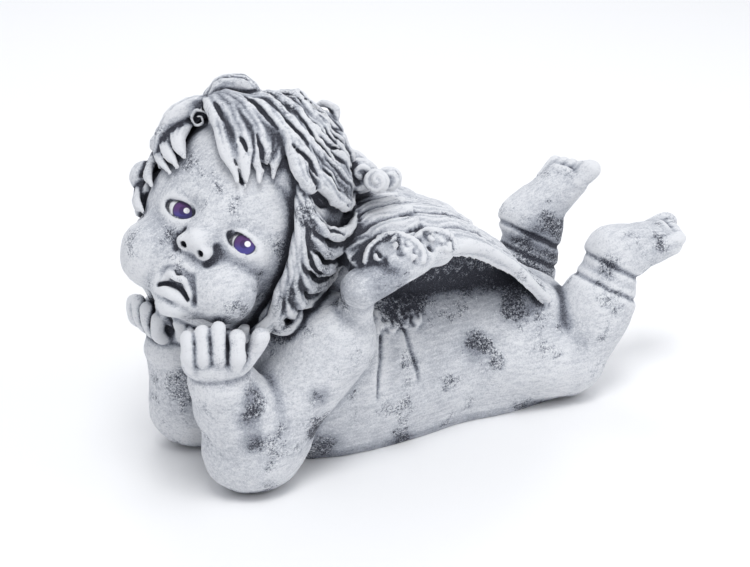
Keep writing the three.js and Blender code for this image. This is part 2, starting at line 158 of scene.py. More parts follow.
class Grid:
    """A box of the clay's points, as three open axes."""

    def __init__(self, axes):
        self.axes = axes

    def project(self, origin, direction):
        """How far each point lies from origin along direction."""
        x, y, z = [
            ((axis - origin[n]) * direction[n]).astype(np.float32) for n, axis in enumerate(self.axes)
        ]
        return x[:, None, None] + y[None, :, None] + z[None, None, :]

    def part(self, low, high):
        """The points between two corners: their slices and their own grid."""
        index = tuple(
            slice(*np.searchsorted(axis, (low[n], high[n]))) for n, axis in enumerate(self.axes)
        )
        return index, Grid([axis[i] for axis, i in zip(self.axes, index)])

    def size(self):
        return tuple(len(axis) for axis in self.axes)


def oval(offsets, radii):
    """The distance to an ellipsoid, less than zero inside, from offsets along its axes."""
    size = 1e-4
    steep = 1e-6
    for offset, radius in zip(offsets, radii):
        share = (offset / radius) ** 2
        size = size + share
        steep = steep + share / radius**2
    size = np.sqrt(size)
    return size * (size - 1) / np.sqrt(steep)


class Ball:
    """An ellipsoid, with its axes along the figure's or along three others."""

    def __init__(self, centre, radii, axes=np.eye(3)):
        self.centre = np.asarray(centre, float)
        self.radii = np.broadcast_to(np.asarray(radii, float), 3)
        self.axes = np.asarray(axes, float)
        extent = np.sqrt(((self.axes * self.radii[:, None]) ** 2).sum(0))
        self.low, self.high = self.centre - extent, self.centre + extent

    def distance(self, grid):
        return oval([grid.project(self.centre, axis) for axis in self.axes], self.radii)


class Limb:
    """An oval section swept along a smooth curve, with round ends and, on hair, fine flutes.

    facing is the direction that the depths are measured along, or a point that it leads away from.
    """

    def __init__(self, points, widths, depths=None, facing=(0, 0, 1), away_from=None, steps=12, flutes=0, relief=0.0):
        self.path = smooth_curve(points, steps)
        t = np.linspace(0, 1, steps + 1)
        self.widths = along(widths, t)
        self.depths = along(widths if depths is None else depths, t)
        self.facing, self.away_from = facing, away_from
        self.flutes, self.relief = flutes, relief
        reach = np.maximum(self.widths, self.depths)[:, None]
        self.low, self.high = (self.path - reach).min(0), (self.path + reach).max(0)

    def distance(self, grid):
        best = np.full(grid.size(), FAR, np.float32)
        for k in range(len(self.path) - 1):
            a, b = self.path[k], self.path[k + 1]
            length = np.linalg.norm(b - a)
            tangent = (b - a) / max(length, 1e-6)
            out = self.facing if self.away_from is None else (a + b) / 2 - self.away_from
            side = unit(np.cross(out, tangent))
            up = np.cross(tangent, side)
            reach = max(self.widths[k : k + 2].max(), self.depths[k : k + 2].max()) + 8
            index, near = grid.part(np.minimum(a, b) - reach, np.maximum(a, b) + reach)
            if min(near.size()) == 0:
                continue
            ahead = near.project(a, tangent)
            t = np.clip(ahead / length, 0, 1)
            width = self.widths[k] + t * (self.widths[k + 1] - self.widths[k])
            depth = self.depths[k] + t * (self.depths[k + 1] - self.depths[k])
            across = near.project(a, side)
            above = near.project(a, up)
            d = oval([across, above, ahead - t * length], [width, depth, np.minimum(width, depth)])
            if self.flutes:
                top = smooth_step(above / depth, -0.2, 0.5)
                d = d - self.relief * np.cos(self.flutes * math.pi * across / width) * top
            best[index] = np.minimum(best[index], d)
        return best


class Wing:
    """A folded wing as a curved sheet between its root and its leading edge, with rows of feathers."""

    edge = [(-55, -69, 132), (-22, -70, 142), (20, -66, 144), (64, -58, 122), (110, -47, 80)]
    root = [(-54, -1, 143), (-12, -2, 160), (34, -3, 147), (76, -8, 118), (118, -24, 80)]
    tiers = ((1.0, 4, 0.0), (0.66, 5, 2.4), (0.36, 6, 4.8))  # where each ends, its feathers, its height
    thickness = 8.0
    length = 175.0

    def __init__(self, side):
        self.side = side
        self.low = np.array([-62.0, -74.0 if side > 0 else -1.0, 60.0])
        self.high = np.array([122.0, 1.0 if side > 0 else 74.0, 186.0])

    def feathers(self, u, v):
        height = np.zeros_like(u)
        for end, count, level in self.tiers:
            s = (u * count + 0.15 * np.sin(v * 9)) % 1 - 0.5
            tip = end - 0.3 * s**2
            vane = 1.8 * (1 - 4 * s**2) + 0.45 * np.cos(s * 6 * math.pi + 1.5 * np.sin(v * 40))
            height = np.where(v < tip, level + vane, height)
        return height

    def distance(self, grid):
        x, y, z = [axis.astype(np.float32) for axis in grid.axes]
        x, y = np.meshgrid(x, -self.side * np.abs(y), indexing="ij")
        y = -np.abs(y)
        table = np.linspace(0, 1, 301)
        root = smooth_curve(self.root, 300)
        edge = smooth_curve(self.edge, 300)
        v = np.full_like(x, 0.5)
        for _ in range(16):
            near = [np.interp(v, table, root[:, n]) for n in range(3)]
            rim = [np.interp(v, table, edge[:, n]) for n in range(3)]
            u = (y - near[1]) / (rim[1] - near[1])
            v = np.clip(v + (x - near[0] - u * (rim[0] - near[0])) / self.length, -0.2, 1.2)
        arch = np.sin(math.pi * np.clip(u, 0, 1)) * (14 - 9 * np.clip(v, 0, 1))
        base = near[2] + u * (rim[2] - near[2]) + arch
        slope = np.gradient(base, x[1, 0] - x[0, 0], y[0, 1] - y[0, 0])
        tilt = 1 / np.sqrt(1 + slope[0] ** 2 + slope[1] ** 2)
        top = base + self.feathers(u, v)
        under = base - self.thickness + 0.9 * np.cos(u * 34 + np.sin(v * 12))
        beyond = np.maximum.reduce([(u - 1) * 62, -u * 62, (v - 1) * self.length, -v * self.length])
        sheet = np.maximum(z - top[..., None], under[..., None] - z) * tilt[..., None]
        return np.maximum(sheet, beyond[..., None]).astype(np.float32)


class Clay:
    """The block that the figure is modelled in."""

    def __init__(self, low, high, step):
        self.step = step
        self.low = np.asarray(low, float)
        count = np.ceil((np.asarray(high, float) - self.low) / step).astype(int) + 1
        self.grid = Grid([self.low[n] + step * np.arange(count[n]) for n in range(3)])
        self.field = np.full(self.grid.size(), FAR, np.float32)

    def _near(self, form, margin):
        return self.grid.part(form.low - margin, form.high + margin)

    def add(self, form, softness=2.0):
        index, grid = self._near(form, max(softness, 8) + 1)
        self.field[index] = soft_min(self.field[index], form.distance(grid), softness)

    def cut(self, form, softness=1.0):
        index, grid = self._near(form, softness + 2)
        self.field[index] = -soft_min(-self.field[index], form.distance(grid), softness)

    def level(self):
        """Cuts the underside flat."""
        below = -self.grid.axes[2].astype(np.float32)
        self.field = np.maximum(self.field, below[None, None, :])

    def soften(self, radius):
        """Melts the seams between forms."""
        self.field = self.blurred(self.field, radius)

    def settle(self, point, way):
        """The first place on the skin, going from a point along a direction."""
        places = np.asarray(point, float) + np.arange(0, 70, 0.4)[:, None] * unit(way)
        return places[(self.sample(self.field, places) < 0).argmax()]

    def sample(self, values, points):
        """Values of a grid at any points."""
        place = (points - self.low) / self.step
        place = np.clip(place, 0, np.array(values.shape) - 1.001)
        i = place.astype(int)
        f = place - i
        total = np.zeros(len(points))
        for corner in np.ndindex(2, 2, 2):
            weight = np.prod(np.where(corner, f, 1 - f), axis=1)
            total += weight * values[tuple((i + corner).T)]
        return total

    def blurred(self, values, radius):
        """A box blur, run twice, that reaches about radius mm."""
        reach = max(1, round(radius / self.step / 1.4))
        for _ in range(2):
            for axis in range(3):
                pad = [(reach + 1, reach) if n == axis else (0, 0) for n in range(3)]
                total = np.cumsum(np.pad(values, pad, mode="edge"), axis=axis, dtype=np.float32)
                total = np.moveaxis(total, axis, 0)
                values = np.moveaxis((total[2 * reach + 1 :] - total[: -2 * reach - 1]) / (2 * reach + 1), 0, axis)
        return values

    def surface(self):
        """Points and quads of the clay's skin: one point in each cell that it crosses."""
        field = self.field
        inside = field < 0
        corners = np.zeros(tuple(n - 1 for n in field.shape), np.uint8)
        for corner in np.ndindex(2, 2, 2):
            corners += inside[tuple(slice(c, c + n) for c, n in zip(corner, corners.shape))]
        crossed = (corners > 0) & (corners < 8)
        cells = np.argwhere(crossed)
        number = np.full(corners.shape, -1, np.int32)
        number[crossed] = np.arange(len(cells))
        total = np.zeros((len(cells), 3))
        count = np.zeros(len(cells))
        for axis in range(3):
            step = np.eye(3, dtype=int)[axis]
            for corner in np.ndindex(2, 2, 2):
                if corner[axis]:
                    continue
                a = field[tuple((cells + corner).T)]
                b = field[tuple((cells + corner + step).T)]
                hit = (a < 0) != (b < 0)
                t = a[hit] / (a[hit] - b[hit])
                total[hit] += np.array(corner) + t[:, None] * step
                count[hit] += 1
        points = self.low + self.step * (cells + total / count[:, None])
        quads = []
        for axis in range(3):
            step = np.eye(3, dtype=int)[axis]
            other = [np.eye(3, dtype=int)[(axis + n) % 3] for n in (1, 2)]
            here = inside[tuple(slice(0 if n == axis else 1, -1) for n in range(3))]
            there = inside[tuple(slice(1, None) if n == axis else slice(1, -1) for n in range(3))]
            for leaving in (True, False):
                at = np.argwhere((here & ~there) if leaving else (there & ~here))
                at += 1 - step
                ring = [at, at - other[0], at - other[0] - other[1], at - other[1]]
                ids = [number[tuple(c.T)] for c in ring]
                quads.append(np.stack(ids if leaving else ids[::-1], axis=1))
        return points, np.concatenate(quads)


def largest_piece(points, quads):
    """Leaves out any crumb that isn't joined to the figure."""
    label = np.arange(len(points))
    edges = np.concatenate([quads[:, [0, 1]], quads[:, [1, 2]], quads[:, [2, 3]], quads[:, [3, 0]]])
    while True:
        least = np.minimum(label[edges[:, 0]], label[edges[:, 1]])
        new = label.copy()
        np.minimum.at(new, edges[:, 0], least)
        np.minimum.at(new, edges[:, 1], least)
        new = new[new]
        if (new == label).all():
            break
        label = new
    main = np.bincount(label).argmax()
    kept = label == main
    number = np.cumsum(kept) - 1
    return points[kept], number[quads[kept[quads[:, 0]]]]


def model_trunk(clay):
    spine = [(-74, 1, 84), (-44, 0, 46), (-5, 0, 36), (45, 0, 35), (88, 0, 33), (118, 0, 27)]
    widths = [40, 49, 48, 47, 52, 46.8]
    depths = [34, 62, 65, 61, 63, 57]
    clay.add(Limb(spine, widths, depths, steps=24), 0)
    clay.add(Limb([in_head(-10, 0, -40), NECK, (-62, 1, 84)], [36, 31, 38], facing=(1, 0, 0)), 12)
    ridge = [(-66, 0, 118), (-20, 0, 134), (30, 0, 124), (80, 0, 102), (116, 0, 82)]
    clay.add(Limb(ridge, [20, 26, 26, 22, 12], [38, 38, 32, 20, 8], steps=16), 8)
    for side in (1, -1):
        clay.add(Ball((102, side * -24, 58), (34, 27, 33)), 8)


def model_arm(clay, side, palm):
    top, joint = on_side(side, SHOULDER), on_side(side, ELBOW)
    wrist = np.array(palm) + (4, side * 2, -24)
    facing = (1, 0, 0)
    clay.add(Limb([top, between(top, joint, 0.5, (0, -2 * side, 0)), joint], [29, 25, 25], facing=facing), 10)
    clay.add(Limb([joint, between(joint, wrist, 0.5, (1, 0, 0)), wrist], [25, 26, 21], facing=facing), 5)
    clay.add(Ball(joint + (2, 0, 0), (35, 27, 27)), 10)


def model_leg(clay, side, ankle):
    top, joint = on_side(side, HIP), on_side(side, KNEE)
    clay.add(Limb([top, between(top, joint, 0.6), joint], [30, 30, 25.8]), 8)
    middle = between(joint, ankle, 0.5, (2, 0, -2))
    clay.add(Limb([joint, middle, ankle], [25.1, 27, 17.5], facing=(1, 0, 0)), 4)


def model_foot(clay, ankle, heel, toe, facing, big_toe):
    """A foot with its sole towards the sky."""
    heel, toe = np.array(heel, float), np.array(toe, float)
    ahead = unit(toe - heel)
    across = unit(np.cross(facing, ahead))
    sole = np.cross(ahead, across)
    length = np.linalg.norm(toe - heel)

    def at(share, up, out=0.0):
        return heel + share * length * ahead + up * sole + out * across

    clay.add(Limb([ankle, at(0.3, -17)], [18, 18.5], facing=ahead, steps=6), 8)
    clay.add(Limb([at(0.16, -14), at(0.5, -13), at(0.8, -9.5)], [17.5, 18.3, 19.5], [15.5, 15.5, 11.5], facing=sole), 6)
    clay.add(Ball(at(0.12, -12.5), (15.5, 15.5, 14)), 8)
    crease = [at(0.83, 3, big_toe * 17), at(0.88, 0, big_toe * 6), at(0.84, 1, big_toe * -6), at(0.78, 2, big_toe * -17)]
    clay.cut(Limb(crease, [1.8, 2.2, 2, 1.6], facing=sole, steps=10), 3)
    for i in range(5):
        out = big_toe * (12.5 - 27 * i / 4)
        tip = 0.99 - 0.15 * i / 4
        thick = 7.8 if i == 0 else 5.9 - 0.7 * i / 4
        clay.add(Limb([at(tip - 0.2, -7, out * 0.95), at(tip, -5, out)], [thick * 0.9, thick], facing=sole, steps=4),
                 1.2)


def model_hand(clay, palm, across, reach, tips):
    """A hand held up as a cup for the chin. tips gives each finger's place across and its height."""
    over = unit(across)
    up = unit(np.asarray(reach) - over * (np.asarray(reach) @ over))
    out = np.cross(over, up)
    axes = np.array([over, up, out])

    def at(a, b, c):
        return np.asarray(palm, float) + np.array([a, b, c]) @ axes

    clay.add(Ball(at(1, -7, 2), (21.5, 14, 17), axes), 0.8)
    clay.add(Ball(at(0, 2, 1), (19, 12, 11), axes), 2)
    for place, tall in tips:
        root = at(place * 0.9, -6, 13)
        knuckle = at(place, 2, 15.5)
        middle = at(place * 1.01, (2 + tall) / 2, 14.5)
        tip = at(place * 1.02, tall, 10.5)
        clay.add(Limb([root, knuckle, middle, tip], [4.4, 5.1, 4.5, 5.0], facing=out, steps=10), 0.8)
    clay.add(Limb([at(17, -6, 4), at(24, 2, 4), at(27.5, 9, 3)], [7, 5.2, 5.6], facing=out, steps=8), 1.5)


FACE_MIDDLE = 4.8  # the face sits this far to the left of the skull's middle
EYE_FORWARD, EYE_APART, EYE_UP, EYE_RADIUS = 40.5, 21.4, -16.0, 12.2
IRIS_TURN = 2.0  # mm that both irises look to the left
NOSTRIL_APART = 6.8


def in_face(forward, left, up):
    return in_head(forward, FACE_MIDDLE + left, up)


def face_line(clay, points, widths, softness, depths=None, cut=True, steps=10):
    """A crease or a fold along points in the face."""
    form = Limb([in_face(*p) for p in points], widths, depths, facing=GAZE, steps=steps)
    (clay.cut if cut else clay.add)(form, softness)


def model_eye(clay, side):
    centre = in_face(EYE_FORWARD, side * EYE_APART, EYE_UP)
    clay.add(Ball(centre, (EYE_RADIUS + 1.5, EYE_RADIUS + 2.5, EYE_RADIUS - 1), HEAD_AXES), 6)
    opening = centre + np.array([14, 0, 0.3]) @ HEAD_AXES
    tilt = math.radians(side * -6)
    lean = EARWARD * math.cos(tilt) + CROWN * math.sin(tilt)
    clay.cut(Ball(opening, (11, 11.7, 5.3), (GAZE, lean, np.cross(GAZE, lean))), 0.8)
    clay.add(Ball(centre, EYE_RADIUS), 0.2)
    middle, up = side * EYE_APART, EYE_UP
    face_line(clay, ((49, middle - side * 11, up - 1), (53.2, middle - side * 4, up + 6.3),
                     (52.4, middle + side * 4, up + 6.2), (45, middle + side * 11, up - 1)),
              [0.5, 1.1, 1.1, 0.5], 1.2, cut=False)


def model_nose(clay):
    face_line(clay, ((46, 0, 2), (50.5, 0, -12), (56.5, 0, -24)), [8, 7.6, 7], 10, cut=False)
    clay.add(Ball(in_face(60, 0, -27.5), (7.5, 6, 5.6), HEAD_AXES), 6)
    for side in (1, -1):
        clay.add(Ball(in_face(57.5, side * NOSTRIL_APART, -31), (6.4, 4.8, 4.6), HEAD_AXES), 3)
        face_line(clay, ((67, side * 5.2, -34.5), (58, side * 6, -32)), [2.5, 2.0], 0.8, steps=4)
        face_line(clay, ((63, side * 9.6, -27.5), (62.5, side * 11.2, -32), (60, side * 9, -36)), [0.5, 1.0, 0.5], 1)
        face_line(clay, ((55, side * 11, -25), (55.5, side * 13.2, -31), (55, side * 10.5, -37)), [0.4, 0.8, 0.4], 3.5)


def crease(clay, places, widths, softness):
    """A groove along places in the face, left and up of its middle, that follows the skin."""
    path = [clay.settle(in_face(95, left, up), -GAZE) for left, up in places]
    clay.cut(Limb(path, widths, facing=GAZE), softness)


def model_mouth(clay):
    """An open mouth under an arched lip, with its corners turned down."""
    clay.cut(Ball(in_face(60.5, -0.5, -54), (6.5, 9.2, 7.0), HEAD_AXES), 2)
    face_line(clay, ((54, -7.5, -55.5), (57.5, -4.6, -51.6), (57.4, -1, -52.6), (57.8, 2.8, -51), (55, 6.8, -54.5)),
              [1.2, 2.2, 1.7, 2.2, 1.2], 1.2, cut=False)
    face_line(clay, ((52, -8, -63.5), (56.5, 0.5, -62.3), (52.5, 8.5, -62.8)), [2.0, 2.7, 2.0], 2.5, cut=False)
    face_line(clay, ((52, -9.6, -61), (56.5, -4.5, -57.6), (58.5, 0, -56.4), (57, 4.5, -57), (52, 9.6, -60.2)),
              [1.2, 1.8, 2.3, 1.8, 1.1], 0.8, depths=[3, 5, 6, 5, 3])
    crease(clay, ((-10, -58), (-10.6, -50.5), (-4.5, -46), (4.5, -47.6), (10, -54)), [0.5, 1.0, 0.7, 1.0, 0.6], 2)
    crease(clay, ((6.5, -46), (12, -54.7), (14.5, -61), (16, -68)), [0.4, 1.3, 1.6, 0.7], 2.5)
    crease(clay, ((-7, -67), (1.5, -66.5), (9, -67)), [0.4, 1.0, 0.4], 3)
    clay.add(Ball(in_face(48, 1, -69), (6, 8.5, 5.5), HEAD_AXES), 4)


def model_face(clay):
    clay.add(Ball(SKULL_CENTRE, SKULL, HEAD_AXES), 9)
    clay.add(Ball(in_head(35, -21, -45), 22.5, HEAD_AXES), 9)
    clay.add(Ball(in_head(36.5, 26, -44.5), (22, 20.5, 21), HEAD_AXES), 7)
    clay.add(Ball(in_head(40, 3, -45), (18, 17.5, 19), HEAD_AXES), 9)
    clay.add(Ball(in_head(39, 5, -60), (17, 17, 13.5), HEAD_AXES), 7)
    for side in (1, -1):
        clay.cut(Ball(in_face(63.5, side * 19, -15), (10, 14, 9), HEAD_AXES), 7)
        model_eye(clay, side)
    model_nose(clay)
    model_mouth(clay)


def hair_thickness(yaw, pitch):
    left = math.cos(math.radians(pitch)) * math.sin(math.radians(yaw))
    return 8.5 + 6.5 * float(smooth_step(left, -0.7, 0.3))


def lock(clay, angles, width=5.5, depth=4.0, lifts=(-2, 0, 0, -1.5), taper=(0.6, 1, 1, 0.75, 0.25), relief=0.45,
         above=None, flutes=3, soft=0.7, wave=0.0, phase=0.0):
    """A lock of hair over angles round the head. lifts are mm from the hair's usual height, or from
    above, a height over the scalp. wave swings it from side to side."""
    count = 3 * len(angles)
    yaws, pitches = np.array(angles, float).T
    yaws = np.degrees(np.unwrap(np.radians(yaws)))
    places = smooth_curve(np.column_stack([yaws, pitches, 0 * yaws]), count)[:, :2]
    raised = along(lifts, np.linspace(0, 1, count + 1))
    path = []
    for i, (yaw, pitch) in enumerate(places):
        base = hair_thickness(yaw, pitch) if above is None else above
        path.append(on_head(yaw, pitch, base - 1.5 + raised[i]))
    path = np.array(path)
    along_it = np.gradient(path, axis=0)
    for i, way in enumerate(along_it):
        t = i / count
        side = unit(np.cross(path[i] - SKULL_CENTRE, way))
        path[i] = path[i] + side * wave * math.sin(phase + t * 7) * min(1, 3 * t)
    widths, depths = np.multiply(taper, width), np.multiply(taper, depth)
    form = Limb(path, widths, np.maximum(depths, 1.2), away_from=SKULL_CENTRE, steps=count + 4, flutes=flutes,
                relief=relief)
    clay.add(form, soft)


def slit(clay, angles, width):
    """A leaf-shaped cut between the hairs of a lock, as deep all along."""
    path = []
    for yaw, pitch in angles:
        outside = on_head(yaw, pitch, 22)
        path.append(clay.settle(outside, SKULL_CENTRE - outside))
    clay.cut(Limb(path, [0.4, width, width, 0.4], [1.5, 3.2, 3.2, 1.5], away_from=SKULL_CENTRE, steps=8), 0.8)


VIEW = unit((-0.5, -0.78, 0.37))  # towards the side that the figure is mostly seen from


def curl(clay, centre, radius, thick, facing=VIEW, turns=1.0, start=0.0, rise=3.0, shrink=0.5):
    """A ring or a spiral of hair."""
    out = unit(facing)
    side = unit(np.cross(CROWN, out))
    up = np.cross(out, side)
    path = []
    for t in np.linspace(0, 1, 16):
        a = math.radians(start) + t * turns * 2 * math.pi
        r = radius * (1 - (1 - shrink) * t)
        path.append(centre + side * math.cos(a) * r + up * math.sin(a) * r + out * t * rise)
    clay.add(Limb(path, [thick * 0.7, thick, thick, thick * 0.6], facing=out, steps=26), 0.6)


def snail(clay, middle, radius, turns=1.8):
    """A ball of hair with its end wound over it."""
    side = unit(np.cross(CROWN, VIEW))
    up = np.cross(VIEW, side)
    clay.add(Ball(middle, radius), 1.5)
    path = []
    for t in np.linspace(0, 1, 18):
        away, turn = math.radians(78 - 70 * t), turns * 2 * math.pi * t
        around = side * math.cos(turn) + up * math.sin(turn)
        path.append(middle + radius * (VIEW * math.cos(away) + around * math.sin(away)))
    clay.add(Limb(path, np.multiply([0.11, 0.18, 0.18, 0.15], radius), facing=VIEW, steps=34), 0.4)


FORELOCK = (
    ((-60, 42), (-32, 37), (-12, 26), (9, 11)),
    ((-60, 43), (-23, 40), (0, 28), (15, 11)),
    ((-60, 45), (-13, 43), (9, 33), (20, 16)),
    ((-60, 46), (-3, 47), (17, 38), (26, 21)),
)
ARCH = (
    (((-50, 43, 9), (-59, 34, 13), (-57, 25, 15), (-59, 17, 13), (-60, 9, 8), (-60, 2, 2)), 6.0),
    (((-62, 37, 7), (-60, 27, 9), (-57, 19, 8), (-52, 13, 5), (-45, 9, 0)), 4.4),
)
SLITS = (
    ((1, 19), (8, 15), (15, 12)),
    ((5, 33), (14, 27), (21, 21)),
    ((-27, 49), (-4, 45), (14, 39)),
    ((11, 47), (23, 43), (34, 39)),
    ((26, 35), (37, 32), (47, 29)),
    ((41, 47), (52, 46), (68, 47)),
    ((-34, 37), (-25, 34), (-17, 31)),
    ((-3, 28), (1, 26), (6, 23)),
    ((46, 25), (60, 22), (76, 25)),
    ((58, 14), (68, 12), (82, 14)),
    ((59, 2), (70, -5), (84, -4)),
)
BESIDE_FORELOCK = (
    ((-30, 50), (8, 46), (30, 34), (42, 24), (58, 27)),
    ((-10, 56), (24, 47), (42, 34), (56, 26), (76, 30)),
)
FAR_SIDE = (
    ((-65, 38), (-70, 28), (-72, 17), (-60, 7), (-36, 0)),
    ((-64, 38), (-66, 28), (-64, 17), (-48, 9), (-33, 4)),
    ((-60, 40), (-58, 32), (-54, 22), (-42, 14), (-32, 10)),
    ((-72, 36), (-78, 24), (-80, 8), (-68, -4), (-52, -8)),
    ((-78, 30), (-88, 14), (-86, -6), (-70, -18), (-55, -22)),
)


def in_bare_face(yaw, pitch, room=0.92):
    """Whether a place on the head is in the oval that has no hair."""
    return face_cover(yaw, pitch) < room


def face_cover(yaw, pitch):
    above = (pitch + 10 + 0.15 * yaw) / np.where(np.asarray(pitch) > -10, 37, 90)
    aside = yaw / (57 + np.maximum(0, -np.asarray(pitch)) / 2)
    return np.cbrt(np.abs(aside) ** 3 + np.abs(above) ** 3)


def swept(row):
    """A path from the whorl across the top to the back, in rows from the brow up."""
    return ((-58, 44 + 3.6 * row), (-4, 48 + 6 * row), (40, 34 + 5.7 * row), (72, 27 + 6 * row),
            (104, 31 + 3.6 * row))


def part_of(path, begin, end):
    """Four places on a path of head angles, between two shares of its length."""
    flat = np.column_stack([path, np.zeros(len(path))])
    places = smooth_curve(flat, 60)[:, :2]
    return [tuple(places[round(60 * min(t, 1))]) for t in np.linspace(begin, end, 4)]


def model_back_hair(clay, random):
    """Locks that sweep out from the whorl in rows, on the back and the far side."""
    whorl = unit(on_head(*WHORL) - SKULL_CENTRE)
    side = unit(np.cross(whorl, CROWN))
    up = np.cross(side, whorl)

    def angles(theta, phi):
        flat = side * math.cos(phi) + up * math.sin(phi)
        direction = HEAD_AXES @ (whorl * math.cos(theta) + math.sin(theta) * flat)
        return math.degrees(math.atan2(direction[1], direction[0])), math.degrees(math.asin(direction[2]))

    for row, theta in enumerate(np.arange(0.5, 2.9, 0.36)):
        around = max(6, int(2 * math.pi * math.sin(theta) * 68 / 10.5))
        for n in range(around):
            phi = (n + 0.5 * (row % 2)) / around * 2 * math.pi + random.uniform(-0.06, 0.06)
            bend = random.uniform(0.2, 0.5)
            reach = random.uniform(0.5, 0.66)
            path = [angles(theta + reach * t - 0.1, phi + bend * t) for t in np.linspace(0, 1, 4)]
            seen = any(-75 < yaw < 106 and pitch > -32 for yaw, pitch in path[1:])
            if seen or any(in_bare_face(*a, 1.02) for a in path):
                continue
            lock(clay, path, width=random.uniform(5.2, 6.6), depth=3.8, lifts=(-5, -1, 0.5, -0.5), wave=0.8,
                 phase=n)


def model_hair(clay):
    random = np.random.RandomState(7)
    clay.add(HairCap(), 1)
    model_back_hair(clay, random)
    for n, path in enumerate(FAR_SIDE):
        lock(clay, path, width=5.6, lifts=(-1, 0.5, 0, -4), wave=0.8, phase=n)
    for row in range(7):
        high = (0.4, -1.2, 0.0, -0.8)[row % 4]
        lock(clay, swept(row), width=(7.6, 6.2, 7.0)[row % 3], depth=4.4, lifts=(-2, high, high, high),
             taper=(0.5, 0.9, 1, 0.9, 0.3), wave=0.8, phase=1.7 * row, soft=1.3, relief=0.35)
    for n in range(20):
        row, begin = random.uniform(-0.3, 6.6), random.uniform(0.02, 0.62)
        path = part_of(swept(row), begin, begin + random.uniform(0.3, 0.5))
        lock(clay, path, width=random.uniform(2.8, 4.6), depth=3.0, lifts=(-3.5, 2.6, 2.8, -2.5),
             taper=(0.3, 0.9, 1, 0.8, 0.2), wave=0.7, phase=n, soft=0.9)
    for n in range(14):
        pitch, begin, deep = 27 - 3.8 * n, 41 + 2.2 * n + 5 * (n % 2), 3 * (n % 2)
        path = ((begin - 3, pitch + 9), (begin + 4, pitch - 6), (begin + 17, pitch - 15 - deep),
                (min(begin + 38, 102), pitch - 14), (112 + 4 * math.sin(n * 2), pitch + 2))
        high = (1.0, -3.4, 0.2, -2.6)[n % 4]
        lock(clay, path, width=(4.6, 3.4, 4.0, 3.2)[n % 4], depth=4.4, lifts=(-10, -4 + high, high, high + 2.5),
             taper=(0.3, 0.9, 1, 0.85, 0.35), flutes=2, wave=0.7, phase=2.3 * n)
    for n in range(24):
        row, begin = random.uniform(0.2, 6.4), random.uniform(0.05, 0.7)
        slit(clay, part_of(swept(row), begin, begin + random.uniform(0.12, 0.3)), random.uniform(1.0, 1.7))
    for n, path in enumerate(BESIDE_FORELOCK):
        lock(clay, path, width=5.4, depth=4.4, lifts=(0, 0.5, 1, -1), taper=(0.5, 1, 1, 0.9, 0.5), wave=0.6,
             phase=2 * n, soft=1.2)
    for path in FORELOCK:
        lock(clay, path, width=7.0, depth=4.4, above=13, lifts=(0, 0.5, -1.5, -7), taper=(0.7, 1.05, 1, 0.8, 0.2),
             soft=1.6, relief=0.3)
    for path in SLITS:
        slit(clay, path, 1.5)
    clay.cut(Ball(on_head(-50, 31, 10), 8), 3)
    for places, width in ARCH:
        path = [on_head(*place) for place in places]
        clay.add(Limb(path, along([0.7, 1, 1, 0.95, 0.8, 0.2], np.linspace(0, 1, 6)) * width,
                      away_from=SKULL_CENTRE, steps=16, flutes=3, relief=0.35), 1.2)
    curl(clay, on_head(-51, 31, 6), 6.6, 1.1, turns=1.4, shrink=0.25, rise=1)
    clay.add(Ball(on_head(72, 70, 6), 9), 3)
    curl(clay, on_head(72, 73, 14), 8.5, 2.8, turns=0.9, shrink=0.8, start=200)
    curl(clay, on_head(-80, -6, 9), 6, 4.6, turns=0.9)
    curl(clay, on_head(-76, 12, 8), 5.5, 4.2, turns=0.9)
    curl(clay, on_head(96, -30, 10), 10.5, 3.6, turns=0.8, start=130, rise=1, shrink=0.95)
    for lift, size in ((0, 0.8), (8, 1.0)):
        tuft = [on_head(-73, 40, 2 + lift), on_head(-73, 48, 7 + lift), on_head(-69, 58, 6 + lift), on_head(-58, 66, lift)]
        clay.add(Limb(tuft, np.multiply([5, 10, 9, 4], size), [6, 8, 7, 4], away_from=SKULL_CENTRE, flutes=5,
                      relief=0.6), 1.5)
    for centre, radius in (((-30, 42, 58), 15), ((-5, 66, 60), 8), ((-16, 70, 66), 8), ((-20, 52, 60), 11)):
        snail(clay, in_head(*centre), radius)


class HairCap:
    """The layer of hair under the locks, which ends at the edge of the bare face."""

    def __init__(self):
        ball = Ball(SKULL_CENTRE, SKULL + 10, HEAD_AXES)
        self.low, self.high = ball.low, ball.high

    def distance(self, grid):
        forward, left, up = [grid.project(SKULL_CENTRE, axis) for axis in HEAD_AXES]
        size = np.sqrt(forward * forward + left * left + up * up) + 1e-3
        cover = face_cover(np.degrees(np.arctan2(left, forward)), np.degrees(np.arcsin(up / size)))
        thick = 8.5 + 6.5 * smooth_step(left / size, -0.7, 0.3) - 6
        lift = -7 + (7 + thick) * smooth_step(cover, 0.85, 1.4)
        shares = [(offset / size / radius) ** 2 for offset, radius in zip((forward, left, up), SKULL)]
        return (size - 1 / np.sqrt(sum(shares)) - lift).astype(np.float32) * 0.9


